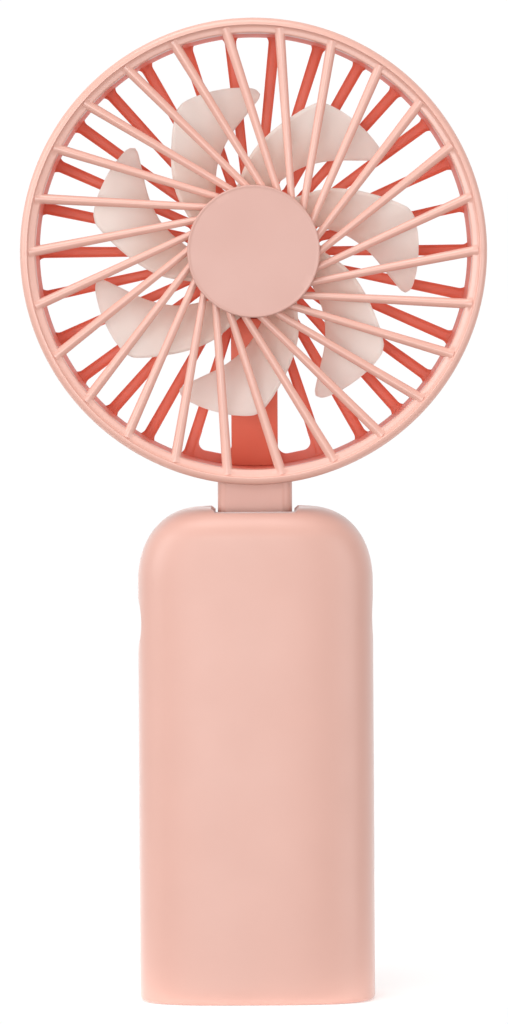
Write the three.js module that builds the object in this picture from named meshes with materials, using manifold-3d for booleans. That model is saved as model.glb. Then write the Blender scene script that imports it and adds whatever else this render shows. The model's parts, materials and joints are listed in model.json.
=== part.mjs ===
// Handheld electric fan with a folding head, built piece by piece. Millimetres, +Z up.
// The origin is the middle of the handle's flat base. The air leaves towards -Y, and +X is
// on the right of someone who faces the grille.
import * as THREE from "three";
import { mergeVertices } from "three/addons/utils/BufferGeometryUtils.js";
import Module from "manifold-3d";

const wasm = await Module();
wasm.setup();

// ---------------------------------------------------------------- driving dimensions
const GAP = 0.1; // air between pieces that seat on each other
const SEAM = 0.3; // air along a parting line

const HEAD_Z = 159.5; // height of the fan's axis
const HEAD_R = 49.5;
const BORE_R = 46.3; // inside of the duct
const FACE_Y = -13; // front of the grille's ring
const SEAM_Y = -9; // where the grille meets the duct's shell
const BACK_Y = 15; // rear of the duct
const RIM_SEGMENTS = 48; // facets round the duct

const SPOKES = 26;
const SPOKE_OFFSET = 8.8; // each spoke's line passes this far from the axis
const SPOKE_WIDTHS = [1.5, 2.15]; // at the boss and at the ring
const SPOKE_DEPTH = 1.8;
const SPOKE_Y = -11.6; // middle of the spokes' depth
const SPOKE_START = -3.7; // turn of the first spoke about the axis, degrees
const BOSS_R = 13.4;
const CAP_R = 14.06;
const CAP_Y = -14.1; // outer face of the cap

const RIBS = 30; // pitch of the rear ribs; two of them make way for the wire channel
const RIB_DEPTH = 2.2;
const CORE_R = 14.2; // closed middle of the rear grille, and its motor cup
const CUP_BORE_R = 12.8;
const FOOT_R = 44.6; // inside of the strip that fills the rim at the foot of the channel
const REBATE_R = 47.5; // step in the duct that seats the rear grille
const INSERT_Y = 12.3; // front of the rear grille's rim
const CHANNEL_WIDTH = 10;
const CHANNEL_Y = 9.4; // front of the channel's side walls, where its cover sits

const BLADES = 7;
const BLADE_THICKNESS = 1.1;
const BLADE_PITCH_Y = [-7.6, 1.3]; // front side and rear side of each blade
const BLADE_CAMBER = 1.4;
const BLADE_ROOT_R = 13.4; // the blades start inside the hub's wall
const HUB_R = 14;
const HUB_BORE_R = 12.95;
const HUB_FRONT = -8.6;
const HUB_BACK = 2.4;

const TUBE_R = 4.3; // motor tube, which carries the core and the bearings
const SHAFT_R = 1;
const WINDING_Y = [-4.8, 1.8];
const BOARD_Y = [4.6, 5.8]; // driver board, behind the rotor

const HINGE_Y = 5; // pin that the head folds on
const HINGE_Z = 95;
const NECK_WIDTH = 15.9;
const NECK_R = 7; // half the neck's depth, and the round of its hinge barrel
const PIN_R = 1.5;
const COVER_Z = [98.3, 108.6]; // cover on the neck's back
const COVER_SCREW_Z = 99.9;
const LEAD_WAY = { x: [-2.6, 2.6], y: [8.4, 11.9] }; // passage for the motor lead

const HANDLE_WIDTH = 50.2;
const HANDLE_DEPTH = 29;
const HANDLE_HEIGHT = 104.8;
const WALL = 2;
const ROOF = 3;
const SHOULDER = [14, 16]; // reach of the wide top corners along X and Z
const SOFT_EDGE = 6.4; // reach of the curve along the top of the side view
const PARTING_Y = 4; // plane where the two handle shells meet
const SLOT_WIDTH = 17; // room for the neck in the top of the handle
const SLOT_FRONT = -4.6;
const SLOT_FLOOR = 87.4;
const NOTCH_Z = 103.95; // top of the handle's wall in front of the neck

const BATTERY_X = -5;
const BATTERY_R = 9.2;
const BATTERY_BASE = 16.5;
const BATTERY_LENGTH = 65;
const BOARD_X = 13.6;
const BUTTON_Z = 60.1;
const BUTTON_WIDTH = 5.8;
const BUTTON_HEIGHT = 12.6;

const SCREW_X = 19;
const SCREW_HEIGHTS = [12, 72];
const BRACKET_BASE = 86.2; // foot of the hinge bracket
const BRACKET_SCREW = { x: 5.5, z: 88.8 };
const SOCKET_Z = 7.9; // middle of the charging socket

// ---------------------------------------------------------------- materials
const plastic = (color) => new THREE.MeshStandardMaterial({ color, roughness: 0.55 });
const metal = (color, roughness) => new THREE.MeshStandardMaterial({ color, roughness, metalness: 1 });
const PINK = plastic(0xe9bbae);
const CORAL = plastic(0xd86f5c);
const FROSTED = plastic(0xead2c5);
const BLACK = plastic(0x26262a);
const BOARD_GREEN = plastic(0x1f5a3a);
const NYLON = plastic(0xe8e6df);
const CELL_WRAP = plastic(0x3f7fb5);
const LEAD_RED = plastic(0xa8231c);
const STEEL = metal(0xb9bcc0, 0.35);
const DARK_STEEL = metal(0x74777c, 0.5);
const COPPER = metal(0xb87345, 0.4);

// ---------------------------------------------------------------- shape helpers
// A closed three.js geometry as a solid that can be joined and cut.
function solid(geometry) {
  const bare = geometry.index ? geometry.toNonIndexed() : geometry.clone();
  Object.keys(bare.attributes)
    .filter((name) => name !== "position")
    .forEach((name) => bare.deleteAttribute(name));
  const merged = mergeVertices(bare, 1e-4);
  const vertProperties = merged.attributes.position.array;
  const triVerts = new Uint32Array(merged.index.array);
  const made = new wasm.Manifold(new wasm.Mesh({ numProp: 3, vertProperties, triVerts }));
  if (made.volume() > 0) return made;
  triVerts.reverse();
  return new wasm.Manifold(new wasm.Mesh({ numProp: 3, vertProperties, triVerts }));
}

const join = (...solids) => solids.reduce((sum, next) => sum.add(next));
const cut = (body, ...tools) => tools.reduce((rest, tool) => rest.subtract(tool), body);

function box([x0, x1], [y0, y1], [z0, z1]) {
  const geometry = new THREE.BoxGeometry(x1 - x0, y1 - y0, z1 - z0);
  return solid(geometry.translate((x0 + x1) / 2, (y0 + y1) / 2, (z0 + z1) / 2));
}

// A profile of [radius, distance along the axis] pairs, turned about a line through centre.
function turned(profile, { axis = "y", centre = [0, 0, HEAD_Z], segments = 24 } = {}) {
  const points = profile.map(([radius, along]) => new THREE.Vector2(radius, along));
  const geometry = new THREE.LatheGeometry(points, segments);
  if (axis === "x") geometry.rotateZ(-Math.PI / 2);
  if (axis === "z") geometry.rotateX(Math.PI / 2);
  return solid(geometry.translate(...centre));
}

const rod = (radius, [from, to], placing) =>
  turned([[0, from], [radius, from], [radius, to], [0, to]], placing);

const tube = (outer, inner, [from, to], placing) =>
  turned([[inner, from], [outer, from], [outer, to], [inner, to], [inner, from]], placing);

// The rotations that stand a flat outline up in each plane, extruded along the third axis.
const PLANES = {
  xy: (geometry, from) => geometry.translate(0, 0, from),
  xz: (geometry, from, to) => geometry.rotateX(Math.PI / 2).translate(0, to, 0),
  yz: (geometry, from) =>
    geometry.rotateX(Math.PI / 2).rotateZ(Math.PI / 2).translate(from, 0, 0),
};

function prismGeometry(outline, plane, [from, to]) {
  const shape = outline instanceof THREE.Shape
    ? outline
    : new THREE.Shape(outline.map(([u, v]) => new THREE.Vector2(u, v)));
  const options = { depth: to - from, bevelEnabled: false, curveSegments: 4 };
  return PLANES[plane](new THREE.ExtrudeGeometry(shape, options), from, to);
}

const prism = (outline, plane, span) => solid(prismGeometry(outline, plane, span));

// A geometry drawn about the Y axis, turned clockwise as seen from the front, at head height.
const spun = (geometry, degrees) =>
  solid(geometry.clone().rotateY(THREE.MathUtils.degToRad(degrees)).translate(0, 0, HEAD_Z));

function roundedRect(width, height, radius, [u, v] = [0, 0]) {
  const shape = new THREE.Shape();
  const [right, top] = [u + width / 2, v + height / 2];
  const [left, bottom] = [u - width / 2, v - height / 2];
  shape.moveTo(left + radius, bottom);
  shape.lineTo(right - radius, bottom);
  shape.absarc(right - radius, bottom + radius, radius, -Math.PI / 2, 0);
  shape.absarc(right - radius, top - radius, radius, 0, Math.PI / 2);
  shape.absarc(left + radius, top - radius, radius, Math.PI / 2, Math.PI);
  shape.absarc(left + radius, bottom + radius, radius, Math.PI, 1.5 * Math.PI);
  return shape;
}

// Points of a superellipse |u/a|^n + |v/b|^n = 1 between two angles in degrees.
function superellipse(a, b, n, count, [from, to] = [0, 360], [u, v] = [0, 0]) {
  const steps = to - from === 360 ? count : count - 1;
  return Array.from({ length: count }, (_, i) => {
    const angle = THREE.MathUtils.degToRad(from + ((to - from) * i) / steps);
    const bend = (value) => Math.sign(value) * Math.abs(value) ** (2 / n);
    return [u + a * bend(Math.cos(angle)), v + b * bend(Math.sin(angle))];
  });
}

const group = new THREE.Group();

function add(name, body, material) {
  const { vertProperties, triVerts } = body.getMesh();
  const geometry = new THREE.BufferGeometry();
  geometry.setAttribute("position", new THREE.BufferAttribute(vertProperties, 3));
  geometry.setIndex(new THREE.BufferAttribute(triVerts, 1));
  geometry.computeVertexNormals();
  const mesh = new THREE.Mesh(geometry, material);
  mesh.name = name;
  group.add(mesh);
}

// A bar along Z about the line (x, y), with its front edges bevelled. Its width changes evenly
// between its ends.
function taperedBar(widths, depth, [from, to], [x, y]) {
  const bevel = 0.35;
  const [wide, deep] = [0.5, depth / 2];
  const edge = bevel / Math.max(...widths);
  const section = [
    [-wide, bevel - deep], [edge - wide, -deep], [wide - edge, -deep], [wide, bevel - deep],
    [wide, deep], [-wide, deep],
  ];
  const geometry = prismGeometry(section, "xy", [from, to]);
  const positions = geometry.attributes.position;
  for (let i = 0; i < positions.count; i++) {
    const share = (positions.getZ(i) - from) / (to - from);
    const width = THREE.MathUtils.lerp(...widths, share);
    positions.setXY(i, x + positions.getX(i) * width, y + positions.getY(i));
  }
  return geometry;
}

// ---------------------------------------------------------------- front of the head
// A bull-nosed ring that plugs into the duct, 26 straight swirled spokes, and a middle boss.
function frontGrille() {
  const ring = turned(
    [
      [BORE_R, SEAM_Y], [47.5, -12.4], [48, FACE_Y], [48.8, FACE_Y], [HEAD_R, -12.3],
      [HEAD_R, SEAM_Y], [47.6, SEAM_Y], [47.6, -6.5], [BORE_R, -6.5], [BORE_R, SEAM_Y],
    ],
    { segments: RIM_SEGMENTS },
  );
  const reach = (radius) => Math.sqrt(radius ** 2 - SPOKE_OFFSET ** 2);
  const ends = [reach(BOSS_R - 0.8), reach(BORE_R + 0.9)];
  const spoke = taperedBar(SPOKE_WIDTHS, SPOKE_DEPTH, ends, [SPOKE_OFFSET, SPOKE_Y]);
  const spokes = Array.from({ length: SPOKES }, (_, i) =>
    spun(spoke, SPOKE_START + (360 * i) / SPOKES),
  );
  const boss = tube(BOSS_R, 3.2, [-12.4, -10.6], { segments: 26 });
  add("front_grille", join(ring, boss, ...spokes), PINK);
}

// The disc that covers the boss, with a peg that clips through it.
function grilleCap() {
  const chamfer = 0.35;
  const profile = [
    [0, CAP_Y], [CAP_R - chamfer, CAP_Y], [CAP_R, CAP_Y + chamfer], [CAP_R, -12.6],
    [3, -12.6], [3, -10.2], [0, -10.2],
  ];
  add("grille_cap", turned(profile, { segments: 40 }), PINK);
}

// ---------------------------------------------------------------- rear of the head
// The duct's wall and the neck are one moulding. The neck ends in the hinge's barrel.
function ductShell() {
  const wall = turned(
    [
      [47.8, SEAM_Y + GAP], [49.3, SEAM_Y + GAP], [49.3, 13.4], [48.3, BACK_Y],
      [REBATE_R, BACK_Y], [REBATE_R, INSERT_Y - GAP], [BORE_R, INSERT_Y - GAP], [BORE_R, -6.3],
      [47.8, -6.3], [47.8, SEAM_Y + GAP],
    ],
    { segments: RIM_SEGMENTS },
  );
  const centre = [0, HINGE_Y, HINGE_Z];
  const stem = prism(
    roundedRect(NECK_WIDTH, 2 * NECK_R, 2.2, [0, HINGE_Y]),
    "xy",
    [HINGE_Z, HEAD_Z - BORE_R - 1.2],
  );
  const barrel = rod(NECK_R, [-NECK_WIDTH / 2, NECK_WIDTH / 2], { axis: "x", centre });
  const bore = rod(PIN_R + GAP, [-NECK_WIDTH, NECK_WIDTH], { axis: "x", centre });
  const duct = rod(BORE_R, [-20, INSERT_Y - GAP], { segments: RIM_SEGMENTS });
  const leadWay = box(LEAD_WAY.x, LEAD_WAY.y, [HINGE_Z + NECK_R, HEAD_Z - BORE_R + 0.4]);
  const coverSeat = box([-5.3, 5.3], [10.6, 13], [COVER_Z[0] - SEAM, COVER_Z[1] + SEAM]);
  const screwHole = rod(0.9, [5.5, 12], { centre: [0, 0, COVER_SCREW_Z], segments: 12 });
  const neck = cut(join(stem, barrel), bore, duct, coverSeat, screwHole);
  add("duct_shell", cut(join(wall, neck), leadWay), PINK);
}

// The insert that closes the duct's rear: a thin rim, radial ribs, a closed middle with the
// motor's cup, and a wide plate that carries the motor lead down to the neck.
function rearGrille() {
  const ribBack = BACK_Y - 0.2;
  const ribSpan = [ribBack - RIB_DEPTH, ribBack];
  const rim = tube(REBATE_R - GAP, BORE_R, [INSERT_Y, BACK_Y - 0.1], { segments: RIM_SEGMENTS });
  const ribEnds = [CORE_R - 1.5, BORE_R + 0.6];
  const outline = [[-0.95, ribEnds[0]], [0.95, ribEnds[0]], [1.25, ribEnds[1]], [-1.25, ribEnds[1]]];
  const rib = prismGeometry(outline, "xz", ribSpan);
  const ribs = Array.from({ length: RIBS }, (_, i) => 6 + (360 * i) / RIBS)
    .filter((angle) => Math.abs(angle - 180) > 7)
    .map((angle) => spun(rib, angle));
  const middle = rod(CORE_R, [12.4, BACK_Y], { segments: 32 });
  const cup = tube(CORE_R, CUP_BORE_R, [4, 12.5], { segments: 32 });

  const half = CHANNEL_WIDTH / 2;
  const floor = box([-half, half], ribSpan, [HEAD_Z - BORE_R - 0.6, HEAD_Z - CORE_R + 1]);
  const sides = [-half, half - 1].map((x) =>
    box([x, x + 1], [CHANNEL_Y, 13], [HEAD_Z - 45.6, HEAD_Z - CORE_R + 1]));
  const footHalf = FOOT_R * Math.sin(THREE.MathUtils.degToRad(18));
  const foot = tube(BORE_R + 0.5, FOOT_R, ribSpan, { segments: RIM_SEGMENTS })
    .intersect(box([-footHalf, footHalf], [0, BACK_Y], [HEAD_Z - HEAD_R, HEAD_Z]));
  const mouth = box([1 - half, half - 1], [7.4, 12.4], [HEAD_Z - CORE_R - 1, HEAD_Z - CUP_BORE_R + 0.8]);
  const pilots = motorScrewPlaces().map(([x, z]) =>
    rod(1, [12, 14.2], { centre: [x, 0, z], segments: 12 }),
  );
  const grille = join(rim, middle, cup, floor, foot, ...sides, ...ribs);
  add("rear_grille", cut(grille, mouth, ...pilots), CORAL);
}

function motorScrewPlaces() {
  const circle = 6.3;
  return [0, 120, 240].map((degrees) => {
    const angle = THREE.MathUtils.degToRad(degrees);
    return [circle * Math.sin(angle), HEAD_Z + circle * Math.cos(angle)];
  });
}

// Snap covers over the motor lead: one inside the duct, one on the back of the neck.
function leadCovers() {
  const half = CHANNEL_WIDTH / 2;
  const coverBack = CHANNEL_Y - GAP;
  const coverFoot = HEAD_Z - BORE_R + 0.4;
  const inner = box([-half, half], [coverBack - 1.2, coverBack], [coverFoot, HEAD_Z - CORE_R - 0.3]);
  add("wire_channel_cover", inner, CORAL);
  const plate = box([-5, 5], [10.8, 12], COVER_Z);
  const hole = rod(1.1, [10, 13], { centre: [0, 0, COVER_SCREW_Z], segments: 12 });
  add("neck_cover", cut(plate, hole), PINK);
  add("neck_cover_screw", screw(1.9, 0.8, [6.2, 12.1, 13], [0, COVER_SCREW_Z]), STEEL);
}

// A pan-head screw along Y through a point of the front view. It is given by the places of
// its tip, the underside of its head and the top of its head.
function screw(headR, shankR, [tip, under, top], [x, z]) {
  const way = Math.sign(top - tip);
  const profile = [
    [0, tip], [shankR / 2, tip], [shankR, tip + way * shankR], [shankR, under], [headR, under],
    [headR, top - way * 0.3], [headR - 0.4, top], [0, top],
  ];
  return turned(profile, { centre: [x, 0, z], segments: 10 });
}

// ---------------------------------------------------------------- motor, fixed parts
function motorStator() {
  const tubeProfile = [
    [3, -5.2], [TUBE_R, -5.2], [TUBE_R, 10.4], [8.4, 10.4], [8.4, 12.2], [3, 12.2], [3, -5.2],
  ];
  const screwHoles = motorScrewPlaces().map(([x, z]) =>
    rod(1.1, [10, 13], { centre: [x, 0, z], segments: 12 }),
  );
  add("motor_tube", cut(turned(tubeProfile), ...screwHoles), DARK_STEEL);

  const teeth = 9;
  const coreShape = (grow) => {
    const span = [-3.6 - grow, 0.6 + grow];
    const hub = tube(6 + grow, TUBE_R + GAP, span);
    const arm = new THREE.BoxGeometry(2 + 2 * grow, span[1] - span[0], 5.7).translate(0, -1.5, 7.35);
    const shoe = new THREE.BoxGeometry(4.8 + 2 * grow, span[1] - span[0], 1 + grow)
      .translate(0, -1.5, 9.6);
    const parts = Array.from({ length: teeth }, (_, i) => (360 * i) / teeth)
      .flatMap((angle) => [spun(arm, angle), spun(shoe, angle)]);
    return join(hub, ...parts);
  };
  add("stator_core", coreShape(0), STEEL);
  const coil = tube(8.9, TUBE_R + 0.5, WINDING_Y, { segments: 27 });
  add("stator_winding", cut(coil, coreShape(GAP)), COPPER);

  const race = (span) => tube(2.9, SHAFT_R + GAP, span, { segments: 24 });
  add("front_bearing", race([-5, -2.6]), STEEL);
  add("rear_bearing", race([8.2, 10.6]), STEEL);
  motorScrewPlaces().forEach((place, i) =>
    add("motor_screw_" + (i + 1), screw(1.7, 0.8, [13.8, 10.3, 9.3], place), STEEL),
  );

  const [boardFront, boardBack] = BOARD_Y;
  const board = tube(CUP_BORE_R - 0.6, TUBE_R + 0.3, BOARD_Y, { segments: 27 });
  const chip = box([-11.5, -7.5], [boardBack - 0.1, 7], [HEAD_Z - 2, HEAD_Z + 2]);
  const sensor = box([7, 9], [3.6, boardFront + 0.1], [HEAD_Z - 1, HEAD_Z + 1]);
  add("driver_board", join(board, chip, sensor), BOARD_GREEN);
}

// The flat motor lead, from the driver board through the channel and down into the neck.
function motorLead() {
  const route = [
    [6.9, 149.5], [8.3, 148.3], [10.2, 146.8], [10.8, 144.5], [10.9, 141], [10.9, 122], [10.6, 116],
    [10.2, 112.8], [9.7, 109], [9.3, 106], [9.1, 103.5],
  ];
  const path = new THREE.CatmullRomCurve3(route.map(([y, z]) => new THREE.Vector3(0, y, z)));
  const options = { steps: 20, bevelEnabled: false, extrudePath: path };
  const outline = [[-1.6, -0.5], [1.6, -0.5], [1.6, 0.5], [-1.6, 0.5]];
  const section = new THREE.Shape(outline.map(([u, v]) => new THREE.Vector2(u, v)));
  const lead = new THREE.ExtrudeGeometry(section, options);
  add("motor_lead", solid(lead), LEAD_RED);
}

// ---------------------------------------------------------------- what spins
// A blade's outline in the front view, as [radius, degrees clockwise] places along its sides.
// The rear side ends in a rounded finger.
const BLADE_FRONT_SIDE = [
  [BLADE_ROOT_R, -16.3], [20, -2.4], [25, 7.5], [30, 16.5], [33.2, 21.6], [34.3, 23.8],
];
const BLADE_REAR_SIDE = [
  [BLADE_ROOT_R, 12.4], [20, 28.3], [25, 39.7], [29.8, 49.6], [31.5, 52.2], [32.7, 53.7], [33.7, 54.1],
];
const BLADE_TIP = [
  [34.3, 23.8], [35, 27], [35.2, 34], [35.15, 42], [35, 48], [34.7, 52.2], [33.7, 54.1],
];

// One swept, pitched blade as a closed skin. s runs from the front side to the rear side, and
// t runs from inside the hub's wall to the tip.
function bladeGeometry(turn) {
  const across = [0, 0.2, 0.4, 0.6, 0.8, 0.93, 1];
  const out = [0, 0.3, 0.6, 0.85, 1];
  const place = ([radius, degrees]) => {
    const angle = THREE.MathUtils.degToRad(degrees + turn);
    return new THREE.Vector3(radius * Math.sin(angle), 0, radius * Math.cos(angle));
  };
  const side = (places) => new THREE.CatmullRomCurve3(places.map(place));
  const [front, rear, tip] = [BLADE_FRONT_SIDE, BLADE_REAR_SIDE, BLADE_TIP].map(side);
  const rootTurns = [BLADE_FRONT_SIDE[0][1], BLADE_REAR_SIDE[0][1]];
  const root = side(
    [0, 0.5, 1].map((share) => [BLADE_ROOT_R, THREE.MathUtils.lerp(...rootTurns, share)]),
  );
  // The point at (s, t) of the surface stretched between the four sides.
  const point = (s, t, face) => {
    const mix = (a, b, share) => a.clone().lerp(b, share);
    const between = mix(front.getPointAt(t), rear.getPointAt(t), s);
    const along = mix(root.getPointAt(s), tip.getPointAt(s), t);
    const corners = mix(
      mix(root.getPointAt(0), root.getPointAt(1), s), mix(tip.getPointAt(0), tip.getPointAt(1), s), t,
    );
    const { x, z } = between.add(along).sub(corners);
    const pitched = THREE.MathUtils.lerp(...BLADE_PITCH_Y, s) - BLADE_CAMBER * Math.sin(Math.PI * s);
    const y = pitched + face * (BLADE_THICKNESS / 2);
    return [x, y, HEAD_Z + z];
  };
  const grid = (i, j, face) => point(across[i], out[j], face);
  const positions = [];
  const quad = (a, b, c, d) => positions.push(...a, ...b, ...c, ...a, ...c, ...d);
  const [lastI, lastJ] = [across.length - 1, out.length - 1];
  for (let i = 0; i < lastI; i++)
    for (let j = 0; j < lastJ; j++) {
      quad(grid(i, j, 1), grid(i + 1, j, 1), grid(i + 1, j + 1, 1), grid(i, j + 1, 1));
      quad(grid(i + 1, j, -1), grid(i, j, -1), grid(i, j + 1, -1), grid(i + 1, j + 1, -1));
    }
  const rim = [
    ...Array.from({ length: lastI }, (_, i) => [i, 0]),
    ...Array.from({ length: lastJ }, (_, j) => [lastI, j]),
    ...Array.from({ length: lastI }, (_, i) => [lastI - i, lastJ]),
    ...Array.from({ length: lastJ }, (_, j) => [0, lastJ - j]),
  ];
  rim.forEach(([i, j], k) => {
    const [m, n] = rim[(k + 1) % rim.length];
    quad(grid(m, n, 1), grid(i, j, 1), grid(i, j, -1), grid(m, n, -1));
  });
  const geometry = new THREE.BufferGeometry();
  geometry.setAttribute("position", new THREE.Float32BufferAttribute(positions, 3));
  return geometry;
}

function impeller() {
  const hub = turned(
    [
      [1.05, HUB_FRONT], [HUB_R - 1.2, HUB_FRONT], [HUB_R, HUB_FRONT + 1.2], [HUB_R, HUB_BACK],
      [HUB_BORE_R, HUB_BACK], [HUB_BORE_R, -7], [1.05, -7], [1.05, HUB_FRONT],
    ],
    { segments: 32 },
  );
  const blades = Array.from({ length: BLADES }, (_, i) =>
    solid(bladeGeometry((360 * i) / BLADES)),
  );
  const hollow = rod(HUB_BORE_R, [-7, HUB_BACK + 1], { segments: 32 });
  add("impeller", cut(join(hub, ...blades), hollow), FROSTED);

  const rotor = [
    [1.05, -6.8], [12.8, -6.8], [12.8, 2.1], [12.1, 2.1], [12.1, -6], [1.05, -6], [1.05, -6.8],
  ];
  add("rotor_cup", turned(rotor, { segments: 32 }), DARK_STEEL);
  add("magnet_ring", tube(12, 10.9, [-5.4, 1.9], { segments: 32 }), BLACK);
  add("motor_shaft", rod(SHAFT_R, [-8.5, 11.2], { segments: 24 }), STEEL);
  add("shaft_clip", tube(2, 1.05, [10.8, 11.1], { segments: 24 }), STEEL);
}

// ---------------------------------------------------------------- handle shells
// The handle's outer form, or its hollow when shrunk by an inset: a rounded section, with
// wide corners at the top of the front view and a soft edge along the top of the side view.
function handleForm(inset, top) {
  const a = HANDLE_WIDTH / 2 - inset;
  const b = HANDLE_DEPTH / 2 - inset;
  const section = prism(superellipse(a, b, 3.4, 36), "xy", [inset, top]);
  const [reachX, reachZ] = SHOULDER;
  const shoulder = (sign, span) => {
    const centre = [sign * (HANDLE_WIDTH / 2 - reachX), top - reachZ + inset];
    return superellipse(reachX - inset, reachZ - inset, 2.2, 7, span, centre);
  };
  const front = prism(
    [[-a, inset + 1.2], [1.2 - a, inset], [a - 1.2, inset], [a, inset + 1.2],
      ...shoulder(1, [0, 90]), ...shoulder(-1, [90, 180])],
    "xz",
    [-b - 1, b + 1],
  );
  const soft = SOFT_EDGE - inset;
  const edge = (sign, span) =>
    superellipse(soft, soft, 2, 5, span, [sign * (b - soft), top - soft]);
  const side = prism(
    [[-b, inset + 0.8], [0.8 - b, inset], [b - 0.8, inset], [b, inset + 0.8],
      ...edge(1, [0, 90]), ...edge(-1, [90, 180])],
    "yz",
    [-a - 1, a + 1],
  );
  return section.intersect(front).intersect(side);
}

// What both shells are cut by: the way for the neck, and a shallow scoop in each side.
function handleCuts() {
  const half = SLOT_WIDTH / 2;
  const far = HANDLE_DEPTH;
  const notch = prism(
    [[-half, NOTCH_Z], [half, NOTCH_Z], [half + 2, NOTCH_Z + 2], [-half - 2, NOTCH_Z + 2]],
    "xz",
    [-far, far],
  );
  const slot = box([-half, half], [SLOT_FRONT, far], [SLOT_FLOOR, HANDLE_HEIGHT + 1]);
  const scoop = (x, z, radius) =>
    rod(radius, [-far, far], { centre: [x, 0, z], segments: 48 });
  const edgeX = HANDLE_WIDTH / 2;
  return [notch, slot, scoop(-edgeX - 18.25, 80.5, 19), scoop(edgeX + 39.75, 81.5, 40)];
}

function screwBosses(span, boreR) {
  return [-SCREW_X, SCREW_X].flatMap((x) =>
    SCREW_HEIGHTS.map((z) => tube(2.6, boreR, span, { centre: [x, 0, z], segments: 12 })),
  );
}

function handleShells() {
  const outer = handleForm(0, HANDLE_HEIGHT);
  const hollow = handleForm(WALL, HANDLE_HEIGHT - ROOF);
  const half = (span) => box([-40, 40], span, [-5, 120]);
  const seam = SEAM / 2;
  const frontHalf = half([-30, PARTING_Y - seam]);
  const rearHalf = half([PARTING_Y + seam, 30]);
  const cuts = handleCuts();

  const bracketBosses = [-BRACKET_SCREW.x, BRACKET_SCREW.x].map((x) =>
    tube(2.2, 0.9, [-12.9, -4.2], { centre: [x, 0, BRACKET_SCREW.z], segments: 12 }),
  );
  const bosses = screwBosses([-12.2, PARTING_Y - seam], 0.9).map((boss) => boss.intersect(outer));
  const buttonSlot = prism(
    roundedRect(BUTTON_WIDTH + 0.8, BUTTON_HEIGHT + 1.2, 2.6, [0, BUTTON_Z]),
    "yz",
    [20, 30],
  );
  const front = cut(outer, hollow).intersect(frontHalf);
  add("handle_front_shell", cut(join(front, ...bosses, ...bracketBosses), ...cuts, buttonSlot), PINK);

  const headWells = [-SCREW_X, SCREW_X].flatMap((x) =>
    SCREW_HEIGHTS.map((z) =>
      turned([[0, 0], [1.2, 0], [1.2, 8.6], [2.1, 8.6], [2.1, 20], [0, 20]],
        { centre: [x, 0, z], segments: 12 })),
  );
  const rearBosses = screwBosses([PARTING_Y + seam, 13], 1.2).map((boss) => boss.intersect(outer));
  const socketMouth = prism(roundedRect(9.7, 4, 1.6, [0, SOCKET_Z]), "xz", [8, 20]);
  const rear = cut(outer, hollow).intersect(rearHalf);
  add("handle_rear_shell", cut(join(rear, ...rearBosses), ...cuts, ...headWells, socketMouth), PINK);

  [-SCREW_X, SCREW_X].forEach((x) =>
    SCREW_HEIGHTS.forEach((z) => {
      const side = x < 0 ? "left" : "right";
      const level = z < HANDLE_HEIGHT / 2 ? "lower" : "upper";
      add("shell_screw_" + level + "_" + side, screw(1.8, 0.8, [-4, 8.7, 9.9], [x, z]), STEEL);
    }),
  );
}

// ---------------------------------------------------------------- hinge
// A steel channel holds the pin, and a nylon washer each side grips the neck.
function hinge() {
  const [inside, outside] = [8.6, 10];
  const centre = [0, HINGE_Y, HINGE_Z];
  const ears = [-outside, inside].map((x) =>
    join(
      box([x, x + outside - inside], [-4, HINGE_Y], [BRACKET_BASE, HINGE_Z + 6]),
      rod(6, [x, x + outside - inside], { axis: "x", centre }),
    ),
  );
  const web = box([-outside, outside], [-4, -2.8], [BRACKET_BASE, HINGE_Z + 6]);
  const pinHole = rod(PIN_R + GAP, [-20, 20], { axis: "x", centre, segments: 24 });
  const fixings = [-BRACKET_SCREW.x, BRACKET_SCREW.x].map((x) =>
    rod(1, [-6, 0], { centre: [x, 0, BRACKET_SCREW.z], segments: 12 }),
  );
  add("hinge_bracket", cut(join(web, ...ears), pinHole, ...fixings), STEEL);
  add("hinge_pin", rod(PIN_R, [-10.6, 10.6], { axis: "x", centre, segments: 24 }), STEEL);
  [-1, 1].forEach((sign) => {
    const faces = [sign * (NECK_WIDTH / 2 + GAP), sign * (inside - GAP)].sort((p, q) => p - q);
    const side = sign < 0 ? "left" : "right";
    const washer = tube(5, PIN_R + GAP, faces, { axis: "x", centre, segments: 24 });
    add("friction_washer_" + side, washer, NYLON);
    const place = [sign * BRACKET_SCREW.x, BRACKET_SCREW.z];
    add("bracket_screw_" + side, screw(1.7, 0.8, [-10, -2.7, -1.7], place), STEEL);
  });
}

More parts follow.
